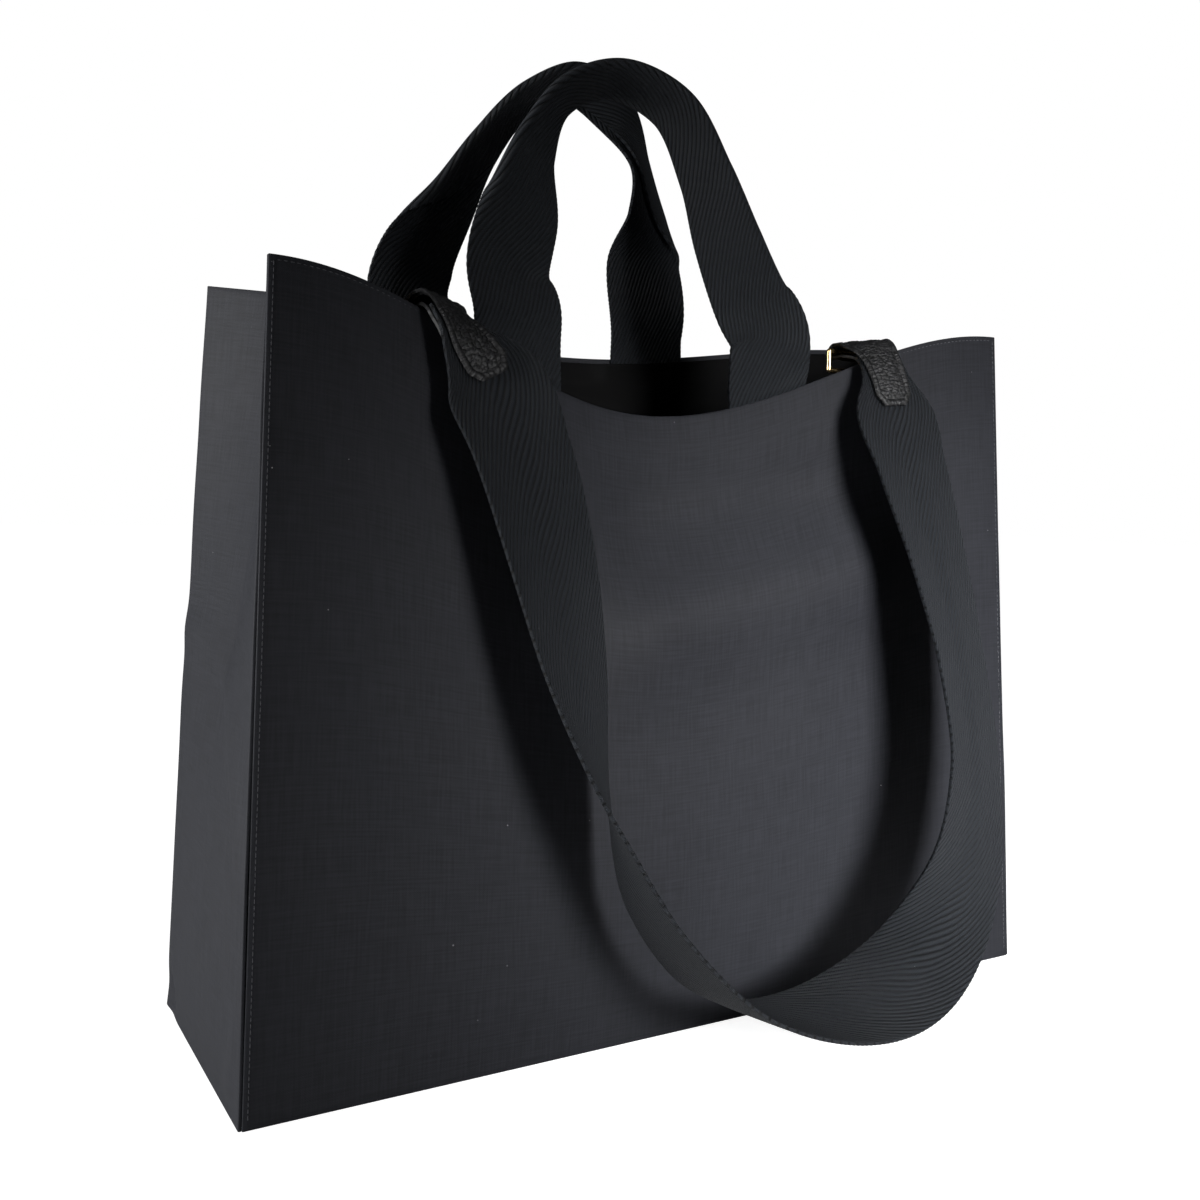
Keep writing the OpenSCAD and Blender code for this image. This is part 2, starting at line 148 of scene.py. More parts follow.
def addMath(tree, operation, first, second=None, third=None):
    node = tree.nodes.new("ShaderNodeMath")
    node.operation = operation
    for socket, value in zip(node.inputs, (first, second, third)):
        if value is None:
            continue
        if isinstance(value, (int, float)):
            socket.default_value = value
        else:
            tree.links.new(value, socket)
    return node.outputs[0]


def addNoise(tree, vector, scale, detail=2, rough=0.5, output="Fac"):
    node = tree.nodes.new("ShaderNodeTexNoise")
    node.inputs["Scale"].default_value = scale
    node.inputs["Detail"].default_value = detail
    node.inputs["Roughness"].default_value = rough
    tree.links.new(vector, node.inputs["Vector"])
    return node.outputs[output]


def addRange(tree, value, low, high, outLow=0, outHigh=1):
    node = tree.nodes.new("ShaderNodeMapRange")
    node.inputs["From Min"].default_value = low
    node.inputs["From Max"].default_value = high
    node.inputs["To Min"].default_value = outLow
    node.inputs["To Max"].default_value = outHigh
    tree.links.new(value, node.inputs["Value"])
    return node.outputs[0]


def addStretch(tree, vector, scale, angle=0):
    node = tree.nodes.new("ShaderNodeMapping")
    node.inputs["Scale"].default_value = scale
    node.inputs["Rotation"].default_value = (0, 0, angle)
    tree.links.new(vector, node.inputs["Vector"])
    return node.outputs[0]


def addMix(tree, factor, first, second):
    node = tree.nodes.new("ShaderNodeMix")
    node.data_type = "RGBA"
    for socket, value in ((node.inputs[0], factor), (node.inputs[6], first), (node.inputs[7], second)):
        if isinstance(value, (int, float, tuple)):
            socket.default_value = value
        else:
            tree.links.new(value, socket)
    return node.outputs[2]


# plain weave: one low mound for each crossing of two threads of uneven thickness
def buildWeaveGroup():
    group, start, end = newGroup("plainWeave", [
        ("Vector", "NodeSocketVector", None), ("Pitch", "NodeSocketFloat", 0.001)], [
        ("Height", "NodeSocketFloat"), ("Thread", "NodeSocketFloat")])
    split = group.nodes.new("ShaderNodeSeparateXYZ")
    group.links.new(start.outputs["Vector"], split.inputs[0])
    waves = []
    for axis in ("X", "Y"):
        turns = addMath(group, "DIVIDE", split.outputs[axis], start.outputs["Pitch"])
        angle = addMath(group, "MULTIPLY", turns, 2 * math.pi)
        waves.append(addMath(group, "COSINE", angle))
    mound = addMath(group, "MULTIPLY", waves[0], waves[1])
    warp = addNoise(group, addStretch(group, start.outputs["Vector"], (900, 40, 1)), 1)
    weft = addNoise(group, addStretch(group, start.outputs["Vector"], (40, 900, 1)), 1)
    slub = addMath(group, "ADD", warp, weft)
    height = addMath(group, "MULTIPLY_ADD", mound, 0.25, slub)
    group.links.new(height, end.inputs["Height"])
    group.links.new(addRange(group, slub, 0.75, 1.25), end.inputs["Thread"])
    return group


# webbing: round ribs that run slanting to its length, each crossed by its own fine threads; the mask of the
# grooves between the ribs darkens the colour there as painted shade
def buildTwillGroup():
    group, start, end = newGroup("twillRibs", [
        ("Vector", "NodeSocketVector", None), ("Pitch", "NodeSocketFloat", 0.0014),
        ("Slope", "NodeSocketFloat", 0.4)], [
        ("Height", "NodeSocketFloat"), ("GrooveShade", "NodeSocketFloat")])
    split = group.nodes.new("ShaderNodeSeparateXYZ")
    group.links.new(start.outputs["Vector"], split.inputs[0])
    wander = addNoise(group, addStretch(group, start.outputs["Vector"], (160, 160, 1)), 1)
    drift = addMath(group, "MULTIPLY", addMath(group, "SUBTRACT", wander, 0.5), 0.0003)
    slanted = addMath(group, "MULTIPLY_ADD", split.outputs["Y"], start.outputs["Slope"],
                      split.outputs["X"])
    place = addMath(group, "ADD", slanted, drift)
    turns = addMath(group, "DIVIDE", place, start.outputs["Pitch"])
    swing = addMath(group, "SINE", addMath(group, "MULTIPLY", turns, math.pi))
    rib = addMath(group, "ABSOLUTE", swing)
    across = addMath(group, "DIVIDE", split.outputs["Y"], start.outputs["Pitch"])
    offset = addMath(group, "MULTIPLY_ADD", turns, 0.5, across)
    beat = addMath(group, "SINE", addMath(group, "MULTIPLY", offset, 2.7 * math.pi))
    pick = addMath(group, "ABSOLUTE", beat)
    fuzz = addNoise(group, addStretch(group, start.outputs["Vector"], (2600, 1400, 1)), 1, 3)
    fullRib = addMath(group, "POWER", rib, 0.6)
    height = addMath(group, "MULTIPLY_ADD", pick, 0.22, fullRib)
    group.links.new(addMath(group, "MULTIPLY_ADD", fuzz, 0.3, height), end.inputs["Height"])
    group.links.new(addRange(group, rib, 0.78, 0.2), end.inputs["GrooveShade"])
    return group


# sparse specks of lint: small spots in a few of the cells
def buildLintGroup():
    group, start, end = newGroup("lintSpecks", [
        ("Vector", "NodeSocketVector", None), ("Scale", "NodeSocketFloat", 90.0),
        ("Size", "NodeSocketFloat", 0.03)], [("Mask", "NodeSocketFloat")])
    cells = group.nodes.new("ShaderNodeTexVoronoi")
    group.links.new(start.outputs["Vector"], cells.inputs["Vector"])
    group.links.new(start.outputs["Scale"], cells.inputs["Scale"])
    near = addMath(group, "LESS_THAN", cells.outputs["Distance"], start.outputs["Size"])
    tone = group.nodes.new("ShaderNodeSeparateColor")
    group.links.new(cells.outputs["Color"], tone.inputs[0])
    chosen = addMath(group, "GREATER_THAN", tone.outputs[0], 0.62)
    strength = addMath(group, "MULTIPLY", near, tone.outputs[1])
    group.links.new(addMath(group, "MULTIPLY", chosen, strength), end.inputs["Mask"])
    return group


# soft cloudy handling marks, brightest where cloth is rubbed
def buildHazeGroup():
    group, start, end = newGroup("handlingHaze", [
        ("Vector", "NodeSocketVector", None), ("Scale", "NodeSocketFloat", 9.0)], [
        ("Mask", "NodeSocketFloat")])
    coarse = addNoise(group, addStretch(group, start.outputs["Vector"], (9, 9, 6)), 1, 4, 0.6)
    fine = addNoise(group, addStretch(group, start.outputs["Vector"], (60, 60, 60)), 1, 3, 0.6)
    both = addMath(group, "MULTIPLY_ADD", fine, 0.35, coarse)
    group.links.new(addRange(group, both, 0.55, 0.95), end.inputs["Mask"])
    return group


weaveGroup = buildWeaveGroup()
twillGroup = buildTwillGroup()
lintGroup = buildLintGroup()
hazeGroup = buildHazeGroup()


# materials
def startMaterial(name, roughness, sheen=0, metallic=0, specular=0.5):
    material = bpy.data.materials.new(name)
    material.use_nodes = True
    tree = material.node_tree
    shader = tree.nodes["Principled BSDF"]
    shader.inputs["Roughness"].default_value = roughness
    shader.inputs["Metallic"].default_value = metallic
    shader.inputs["Specular IOR Level"].default_value = specular
    shader.inputs["Sheen Weight"].default_value = sheen
    shader.inputs["Sheen Roughness"].default_value = 0.45
    shader.inputs["Sheen Tint"].default_value = (0.85, 0.9, 1.0, 1)
    coords = tree.nodes.new("ShaderNodeTexCoord")
    return material, tree, shader, coords


def useGroup(tree, group, vector, **values):
    node = tree.nodes.new("ShaderNodeGroup")
    node.node_tree = group
    tree.links.new(vector, node.inputs["Vector"])
    for title, value in values.items():
        node.inputs[title].default_value = value
    return node


def addBump(tree, shader, height, distance, strength):
    node = tree.nodes.new("ShaderNodeBump")
    node.inputs["Strength"].default_value = strength
    node.inputs["Distance"].default_value = distance * mm
    tree.links.new(height, node.inputs["Height"])
    tree.links.new(node.outputs[0], shader.inputs["Normal"])


def clothMaterial(name, look):
    sheen, specular = look["sheen"], look["specular"]
    material, tree, shader, coords = startMaterial(name, look["roughness"], sheen, 0, specular)
    weave = useGroup(tree, weaveGroup, coords.outputs["UV"], Pitch=look["pitch"] * mm)
    haze = useGroup(tree, hazeGroup, coords.outputs["Object"])
    lint = useGroup(tree, lintGroup, coords.outputs["Object"], Scale=look["lintScale"],
                    Size=look["lintSize"])
    threads = addMix(tree, weave.outputs["Thread"], look["dark"], look["light"])
    rubbed = addMath(tree, "MULTIPLY", haze.outputs["Mask"], look["haze"])
    worn = addMix(tree, rubbed, threads, look["dust"])
    specked = addMix(tree, lint.outputs["Mask"], worn, look["lint"])
    tree.links.new(specked, shader.inputs["Base Color"])
    rough = addRange(tree, haze.outputs["Mask"], 0, 1, look["roughness"], look["roughness"] + 0.12)
    tree.links.new(rough, shader.inputs["Roughness"])
    addBump(tree, shader, weave.outputs["Height"], look["depth"], look["strength"])
    return material


def webbingMaterial(name, look):
    sheen, specular = look["sheen"], look["specular"]
    material, tree, shader, coords = startMaterial(name, look["roughness"], sheen, 0, specular)
    ribs = useGroup(tree, twillGroup, coords.outputs["UV"], Pitch=look["pitch"] * mm, Slope=look["slope"])
    lint = useGroup(tree, lintGroup, coords.outputs["Object"], Scale=look["lintScale"],
                    Size=look["lintSize"])
    haze = useGroup(tree, hazeGroup, coords.outputs["Object"])
    # the colour goes from the light tone on the rib tops to near black in the grooves between them: painted
    # shade
    tone = addMix(tree, ribs.outputs["GrooveShade"], look["light"], look["dark"])
    rubbed = addMath(tree, "MULTIPLY", haze.outputs["Mask"], look["haze"])
    worn = addMix(tree, rubbed, tone, look["dust"])
    specked = addMix(tree, lint.outputs["Mask"], worn, look["lint"])
    tree.links.new(specked, shader.inputs["Base Color"])
    addBump(tree, shader, ribs.outputs["Height"], look["depth"], look["strength"])
    return material


def leatherMaterial(name, look):
    material, tree, shader, coords = startMaterial(name, look["roughness"], 0, 0, look["specular"])
    shader.inputs["Coat Weight"].default_value = 0.12
    shader.inputs["Coat Roughness"].default_value = 0.4
    cells = tree.nodes.new("ShaderNodeTexVoronoi")
    cells.feature = "SMOOTH_F1"
    cells.inputs["Scale"].default_value = look["grain"]
    cells.inputs["Smoothness"].default_value = 0.6
    bent = addStretch(tree, coords.outputs["UV"], (0.7, 1.25, 1))
    tree.links.new(bent, cells.inputs["Vector"])
    pebble = addRange(tree, cells.outputs["Distance"], 0.1, 0.75, 1, 0)
    pores = addNoise(tree, coords.outputs["UV"], 2600, 2)
    creases = addNoise(tree, addStretch(tree, coords.outputs["UV"], (90, 700, 1)), 1, 2)
    pored = addMath(tree, "MULTIPLY_ADD", pores, 0.15, pebble)
    height = addMath(tree, "MULTIPLY_ADD", creases, 0.9, pored)
    # the colour darkens from the pebble tops into the crevices between them: painted shade
    tree.links.new(addMix(tree, pebble, look["dark"], look["light"]), shader.inputs["Base Color"])
    rough = addRange(tree, pebble, 0, 1, look["roughness"] + 0.2, look["roughness"])
    tree.links.new(rough, shader.inputs["Roughness"])
    addBump(tree, shader, height, look["depth"], look["strength"])
    return material


def metalMaterial(name, look):
    material, tree, shader, coords = startMaterial(name, look["roughness"], 0, 1)
    marks = addNoise(tree, addStretch(tree, coords.outputs["Object"], (300, 300, 1800)), 1, 3)
    tone = addMix(tree, addNoise(tree, coords.outputs["Object"], 160, 2), look["dark"], look["light"])
    tree.links.new(tone, shader.inputs["Base Color"])
    rough = addRange(tree, marks, 0.3, 0.7, look["roughness"], look["roughness"] + 0.16)
    tree.links.new(rough, shader.inputs["Roughness"])
    addBump(tree, shader, marks, 0.02, 0.3)
    return material


def boardMaterial(name, look):
    material, tree, shader, coords = startMaterial(name, look["roughness"])
    fibre = addNoise(tree, addStretch(tree, coords.outputs["Object"], (260, 900, 900)), 1, 5, 0.65)
    tone = addMix(tree, fibre, look["dark"], look["light"])
    tree.links.new(tone, shader.inputs["Base Color"])
    addBump(tree, shader, fibre, 0.2, 0.5)
    return material


# pitch and depth are in millimetres; the dust shows where the haze is
canvasLook = {"roughness": 0.66, "sheen": 0.03, "specular": 0.25, "pitch": 1.05, "depth": 0.12,
              "strength": 0.5, "dark": (0.0062, 0.0068, 0.0095, 1), "light": (0.0125, 0.0132, 0.0175, 1),
              "dust": (0.028, 0.03, 0.036, 1), "haze": 0.22, "lint": (0.3, 0.3, 0.32, 1),
              "lintScale": 85.0, "lintSize": 0.028}
# the lining and facing colours are about ten times darker than the canvas: painted shade inside the mouth
# of the bag
liningShadeLook = dict(canvasLook, pitch=0.5, depth=0.05, haze=0.02, sheen=0, specular=0.08,
                  dark=(0.0006, 0.0006, 0.0007, 1), light=(0.0012, 0.0012, 0.0014, 1))
# the webbing's dark colour is the painted shade in the grooves between the ribs
webbingLook = {"roughness": 0.62, "sheen": 0.03, "specular": 0.22, "pitch": 2.45, "slope": 0.48,
               "depth": 1.1, "strength": 1.0, "dark": (0.0003, 0.0004, 0.0007, 1),
               "light": (0.0105, 0.0125, 0.0158, 1), "dust": (0.03, 0.034, 0.04, 1), "haze": 0.12,
               "lint": (0.3, 0.31, 0.33, 1), "lintScale": 110.0, "lintSize": 0.022}
# the leather's dark colour is the painted shade in the crevices of the grain
leatherLook = {"roughness": 0.46, "specular": 0.4, "grain": 480, "depth": 0.6, "strength": 1.0,
               "dark": (0.0006, 0.0006, 0.0007, 1), "light": (0.017, 0.017, 0.019, 1)}
boardLook = {"roughness": 0.85, "dark": (0.16, 0.14, 0.11, 1), "light": (0.3, 0.27, 0.22, 1)}
goldLook = {"roughness": 0.16, "dark": (0.72, 0.5, 0.22, 1), "light": (0.92, 0.72, 0.4, 1)}
canvasCloth = clothMaterial("canvasCloth", canvasLook)
liningShadeCloth = clothMaterial("liningShadeCloth", liningShadeLook)
threadLook = dict(canvasLook, dark=(0.04, 0.04, 0.045, 1), light=(0.09, 0.09, 0.1, 1), pitch=0.4, sheen=0.3)
thread = clothMaterial("thread", threadLook)
webbingWeave = webbingMaterial("webbingWeave", webbingLook)
tabLeather = leatherMaterial("tabLeather", leatherLook)
gold = metalMaterial("gold", goldLook)
fibreBoard = boardMaterial("fibreBoard", boardLook)
print("materials ready")


# shape of the bag, by the same rules as the frame
def seamX(v):
    return bag["halfWidth"] - bag["leanWidth"] * v


def seamY(v):
    return bag["halfDepth"] - bag["leanDepth"] * v


# 1 in the middle of the mouth, 0 at the corners
def middle(x, v):
    c, r = bag["slump"], seamX(v)
    s = (c - x) / (r + c) if x < c else (x - c) / (r - c)
    return math.cos(math.pi / 2 * min(1, max(0, s))) ** 2


def rimZ(x, side):
    return bag["height"] - (bag["frontDip"] if side < 0 else bag["backDip"]) * middle(x, 1)


def faceY(x, v, side):
    sag = bag["mouthSag"] if side < 0 else 0
    swell = bag["belly"] * math.sin(math.pi * max(0, v) ** 0.85) * middle(x, v)
    return side * (seamY(v) + swell - sag * v ** 3 * middle(x, 1))


def foldIn(s, v):
    deep = bag["foldDepth"] * max(0, v) ** 1.7 * (1 - abs(s) ** 1.25)
    return deep - 5 * math.sin(math.pi * v) * (1 - s * s) * (1 - v)


# relief of the cloth itself: dents, bulges and slow waves that leave the seams straight
relief = {"dent": 6.0, "bulge": 7.0, "bulgeBelow": 26, "crestZ": 232, "crestSlope": 0.2, "wave": 1.3,
          "backWave": 1.56, "backBulge": 2.5, "backDent": 2.0, "waveSize": 95}


# 1 over the field of a wall, fading to 0 at its seams and at the mouth
def calmEdges(x, z, fadeEnd, fadeStart):
    return smooth(0, 45, z) * smooth(fadeEnd, fadeStart, z) * smooth(225, 185, abs(x))


# a long bulge under the strap's loop with a shallow dent over it
def frontRelief(x, z):
    crest = relief["crestZ"] + relief["crestSlope"] * (x + 26)
    window = smooth(-105, -15, x) * smooth(175, 95, x)
    t = z - crest
    spread = 34 if t < -relief["bulgeBelow"] else 24
    shape = relief["bulge"] * bump(t, -relief["bulgeBelow"], spread) - relief["dent"] * bump(t, 30, 26)
    wave = relief["wave"] * ripple(x, 40, z, relief["waveSize"])
    return (shape * window + wave) * calmEdges(x, z, 330, 270)


def backRelief(x, z):
    bulge = relief["backBulge"] * bump(z, 210, 60) * bump(x, 30, 110)
    dent = relief["backDent"] * bump(z, 285, 40) * bump(x, -40, 90)
    wave = relief["backWave"] * ripple(x, -60, z, relief["waveSize"])
    return (bulge - dent + wave) * calmEdges(x, z, 345, 290)


def wallPoint(side, k, v, inset, edge=0, reach=1.0):
    x = k * (seamX(v) - edge)
    z = v * rimZ(k * seamX(1), side) * reach
    swell = frontRelief(x, z) if side < 0 else backRelief(x, z)
    return x, faceY(x, v, side) + side * (swell - inset), z


# each gusset's arched crease, and the small dimple at its foot
gussetRelief = {"ridge": 2.2, "dimple": 3.2, "pad": 1.8,
                "ring": {-1: (60, 60, 130, 140), 1: (50, 70, 120, 120)}}  # centre y, z and reach y, z


def gussetSwell(side, y, z):
    centreY, centreZ, reachY, reachZ = gussetRelief["ring"][side]
    ring = math.hypot((y - centreY) / reachY, (z - centreZ) / reachZ)
    ridge = gussetRelief["ridge"] * bump(ring, 1, 0.07) + gussetRelief["pad"] * smooth(1.05, 0.7, ring)
    dimple = gussetRelief["dimple"] * bump(math.hypot(y - 62, z - 12), 0, 9)
    calm = smooth(0, 22, z) * smooth(76, 50, abs(y))
    return ridge * calm - dimple + ripple(side * 90, y, z, 60) * calm


def gussetPoint(side, s, v, inset, edge):
    front = faceY(seamX(v), v, -1) + edge
    back = faceY(seamX(v), v, 1) - edge
    y = (front + back) / 2 + s * (back - front) / 2
    fold = s * (back - front) / (back - front + 2 * edge)
    z = v * (bag["height"] - 8 * v * (1 - abs(fold)))
    return side * (seamX(v) - foldIn(fold, v) - inset + gussetSwell(side, y, z)), y, z


# stitching: one small thread loop is modelled, then copied along each row
stitchSize = {"pitch": 2.8, "long": 2.1, "wide": 0.42}
deselectAll()
bpy.ops.mesh.primitive_uv_sphere_add(segments=6, ring_count=5, radius=0.5)
stitchModel = bpy.context.object
stitchModel.name = "stitchModel"
bpy.ops.object.mode_set(mode="EDIT")
bpy.ops.mesh.select_all(action="SELECT")
bpy.ops.transform.rotate(value=math.pi / 2, orient_axis="X", center_override=(0, 0, 0))
bpy.ops.object.mode_set(mode="OBJECT")


# places along a path of (point, normal) pairs in millimetres, an even pitch apart
def walkPath(path, pitch):
    places, gone, due = [], 0.0, pitch / 2
    for (a, na), (b, nb) in zip(path, path[1:]):
        step = (Vector(b) - Vector(a)).length
        while gone + step >= due:
            t = (due - gone) / step
            run = (Vector(b) - Vector(a)).normalized()
            places.append((Vector(a).lerp(Vector(b), t), run, Vector(na).lerp(Vector(nb), t).normalized()))
            due += pitch
        gone += step
    return places


def stitchRows(name, rows, body, slot="canvas", size=stitchSize):
    work = bmesh.new()
    for path in rows:
        for point, run, out in walkPath(path, size["pitch"]):
            side = out.cross(run)
            turn = Matrix((side, run, out)).transposed().to_4x4()
            scale = Matrix.Diagonal((size["wide"], size["long"], size["wide"], 1))
            first = len(work.verts)
            work.from_mesh(stitchModel.data)
            work.verts.ensure_lookup_table()
            lift = point + out * size["wide"] * 0.12
            whole = Matrix.Scale(mm, 4) @ Matrix.Translation(lift) @ turn @ scale
            bmesh.ops.transform(work, matrix=whole, verts=work.verts[first:])
    mesh = bpy.data.meshes.new(name)
    work.to_mesh(mesh)
    work.free()
    piece = bpy.data.objects.new(name, mesh)
    bpy.context.scene.collection.objects.link(piece)
    selectOnly(piece)
    bpy.ops.object.shade_smooth()
    dress(piece, thread, body, slot)
    return piece


# share of the height at step t of a seam that stops just short of the base and the mouth
def seamShare(t):
    return 0.012 + 0.98 * t


# canvas walls
wallGrid = {"across": 150, "along": 118, "gussetAcross": 56}
flatWidth, flatHeight, flatDepth = 2 * bag["halfWidth"], bag["height"], 2 * bag["halfDepth"]
stitchIn = 2.3


def makeWall(name, side, node):
    def place(u, w):
        return wallPoint(side, 2 * u - 1, w, 0)
    piece = clothGrid(name, wallGrid["across"], wallGrid["along"], (flatWidth, flatHeight), place, side > 0)
    thicken(piece, bag["canvas"])
    dress(piece, canvasCloth, "bag", "canvas", node)
    out = Vector((0, side, 0))
    rows = []
    for end in (-1, 1):
        def seam(t, end=end):
            x, y, z = wallPoint(side, end, seamShare(t), 0)
            return x - end * stitchIn, faceY(x - end * stitchIn, seamShare(t), side), z
        rows.append([(seam(i / 90), out) for i in range(91)])

    def rim(t):
        k = (2 * t - 1) * 0.985
        x, y, z = wallPoint(side, k, 1, 0)
        return x, y, z - stitchIn
    rows.append([(rim(i / 160), out) for i in range(161)])
    stitches = stitchRows(name + "Stitches", rows, "bag")


makeWall("frontPanel", -1, "front_panel")
makeWall("backPanel", 1, "back_panel")
print("panels made")


def makeGusset(name, side, node):
    edge = 0.7

    def place(u, w):
        return gussetPoint(side, 2 * u - 1, w, 0, edge)
    across, along = wallGrid["gussetAcross"], wallGrid["along"]
    piece = clothGrid(name, across, along, (flatDepth, flatHeight), place, side > 0)
    thicken(piece, bag["canvas"])
    dress(piece, canvasCloth, "bag", "canvas", node)
    rows = []
    for end in (-1, 1):
        def seam(t, end=end):
            v = seamShare(t)
            s = end * (1 - (stitchIn + 1) / seamY(v))
            return gussetPoint(side, s, v, 0, edge)
        path = [Vector(seam(i / 90)) for i in range(91)]
        corner = [Vector(gussetPoint(side, end, seamShare(i / 90), 0, edge)) for i in range(91)]
        rows.append([(p, Vector((side, -0.45 * (q.x - p.x) * end * side, 0)))
                     for p, q in zip(path, corner)])

    def rim(t):
        x, y, z = gussetPoint(side, (2 * t - 1) * 0.96, 1, 0, edge)
        return x, y, z - stitchIn
    rows.append([(rim(i / 60), Vector((side, 0, 0))) for i in range(61)])
    stitches = stitchRows(name + "Stitches", rows, "bag")


makeGusset("leftGusset", -1, "left_gusset")
makeGusset("rightGusset", 1, "right_gusset")
print("gussets made")


def makeFloorSheet(name, z, thick, inset, material, slot, node):
    def place(u, w):
        x = (2 * u - 1) * (bag["halfWidth"] - inset)
        y = (2 * w - 1) * (bag["halfDepth"] - inset)
        return x, y, z + thick + 0.25 * ripple(x, y, 0, 40)
    piece = clothGrid(name, 90, 30, (flatWidth, flatDepth), place)
    thicken(piece, thick)
    dress(piece, material, "bag", slot, node)


boardTop = bag["canvas"] + bag["gap"] + bag["board"]
liningGap = bag["canvas"] + bag["gap"] + bag["webbing"] + bag["gap"]
makeFloorSheet("basePanel", 0.3, bag["canvas"] - 0.4, bag["canvas"] * 0.6, canvasCloth, "canvas",
               "base_panel")
# the base lining takes the darkened inside cloth: painted shade
makeFloorSheet("baseLining", boardTop + 0.6, bag["lining"], liningGap + bag["lining"], liningShadeCloth,
               "lining", "base_lining")


# handles: flat webbing legs that fold lengthwise into a sewn grip
handle = {"legHalf": 75, "width": 48, "rise": 135, "sewn": 42, "flexGap": 5.2, "flexHigh": 4.5, "bend": 1.4,
          "roll": 2.4, "rows": 620, "across": 34, "shift": {-1: 0, 1: -18}, "sewnTop": 18,
          "toCrease": 0.46, "toTurned": 0.72}
# from the left foot over the grip to the right foot: share of the spread, lean to the back, share of the
# rise, turn, share of the fold
archOf = {
    -1: [[-1, 0, 0, 7, 0], [-1, 0, 0.08, 6, 0], [-1.01, 9, 0.25, 8, 0.05],
         [-0.83, 19, 0.49, 14, 0.34], [-0.69, 26, 0.73, 32, 0.8], [-0.46, 30, 0.93, 52, 1],
         [-0.1, 30, 1.02, 62, 1], [0.32, 26, 0.95, 56, 1], [0.58, 20, 0.7, 34, 0.86],
         [0.72, 12, 0.45, 16, 0.5], [0.87, 4, 0.22, 5, 0.16], [1, 0, 0.08, 6, 0.01], [1, 0, 0, 7, 0]],
    1: [[-1, 0, 0, 0, 0], [-0.99, 0, 0.08, 4, 0], [-0.85, 9, 0.25, 16, 0.18],
        [-0.62, 13, 0.45, 20, 0.62], [-0.38, 10, 0.69, 30, 0.97], [-0.08, 4, 0.9, 46, 1],
        [0.27, 0, 1, 50, 1], [0.61, 0, 0.92, 14, 1], [0.87, 0, 0.72, -38, 1],
        [0.95, 0, 0.5, -24, 0.72], [0.95, 0, 0.28, 2, 0.1], [1, 0, 0.08, 5, 0.01], [1, 0, 0, 0, 0]]}


legInset = bag["canvas"] + bag["gap"] + bag["webbing"] / 2  # face of the canvas to the webbing's middle


def footX(side):
    return bag["slump"] + handle["shift"][side]


def legY(side):
    return faceY(footX(side) - handle["legHalf"], 1, side) - side * legInset


def legZ(side):
    return rimZ(footX(side) - handle["legHalf"] - handle["width"] / 2, side) + handle["flexHigh"]


def sewnStation(sign, side, depth):
    x = footX(side) + sign * handle["legHalf"]
    z = legZ(side) - handle["flexGap"] - depth
    y = faceY(x, min(1, z / rimZ(x, side)), side) - side * legInset
    return [x, y, z, archOf[side][0 if sign < 0 else -1][3], 0, 0]


def handleStations(side):
    foot, y, z = footX(side), legY(side), legZ(side)
    arch = [[foot + handle["legHalf"] * share, y + lean, z + handle["rise"] * rise, turn, fold, 0]
            for share, lean, rise, turn, fold in archOf[side]]
    low = [sewnStation(-1, side, handle[depth]) for depth in ("sewn", "sewnTop")]
    end = [sewnStation(1, side, handle[depth]) for depth in ("sewnTop", "sewn")]
    return low + arch + end


# height over the mouth edge tells how much of the webbing is held flat between panel and facing
def heldFlat(point, side):
    v = point.z / rimZ(point.x, side)
    if v > 1.03:
        return point
    x, y, z = wallPoint(side, point.x / seamX(min(1, v)), min(1, v), legInset)
    held = smooth(1.03, 0.998, v)
    return Vector((point.x, point.y + (y - point.y) * held, point.z))


# linings hang inside the canvas, facings close against the mouth edge and cover the handle ends
liningTop = 1 - (bag["facingHeight"] + 2) / (bag["height"] - bag["frontDip"])


def makeInner(name, side, low, high, slot, node, gusset):
    cut = 140 if gusset else 450
    edge = liningGap + bag["lining"]
    snug = bag["canvas"] + bag["gap"]

    # near the mouth the cloth closes against the canvas, apart from where a handle's end lies between
    def inset(v, x):
        closed = smooth(0.955, 0.985, v)
        if not gusset:
            closed *= smooth(27, 36, abs(abs(x - footX(side)) - handle["legHalf"]))
        return liningGap + (bag["canvas"] + 0.05 - liningGap) * closed

    def place(u, w):
        k = 2 * u - 1
        v = low + (high - low) * w
        if not gusset:
            return wallPoint(side, k, v, inset(v, k * seamX(v)), edge * 0.75)
        near = inset(v, 0) if slot == "canvas" else snug
        return gussetPoint(side, k, v, min(near, snug), edge - 2.2)
    rows = 60 if high - low > 0.4 else 30
    piece = clothGrid(name, 60 if gusset else 120, rows, (cut, (high - low) * flatHeight), place, side > 0)
    thicken(piece, bag["lining"])
    # linings and facings take the darkened inside cloth: painted shade inside the bag
    dress(piece, liningShadeCloth, "bag", slot, node)


for title, side in (("front", -1), ("back", 1), ("left", -1), ("right", 1)):
    gusset = title in ("left", "right")
    makeInner(title + "Lining", side, 0.02, liningTop + 0.012, "lining", title + "_lining", gusset)
    makeInner(title + "Facing", side, liningTop, 0.992, "canvas", title + "_facing", gusset)
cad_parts["base_board"].data.materials.clear()
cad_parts["base_board"].data.materials.append(fibreBoard)
print("inside made")


# ribbons: a smooth curve through stations, as in the frame
def gapTo(stations, i):
    return math.dist(stations[i][:3], stations[i + 1][:3])


def slopeAt(stations, i):
    n = len(stations) - 1
    if i == 0 or i == n:
        a, b = (0, 1) if i == 0 else (n - 1, n)
        return [(q - p) / gapTo(stations, a) for p, q in zip(stations[a], stations[b])]
    a, b = gapTo(stations, i - 1), gapTo(stations, i)
    return [(q - p) / a - (r - p) / (a + b) + (r - q) / b
            for p, q, r in zip(stations[i - 1], stations[i], stations[i + 1])]


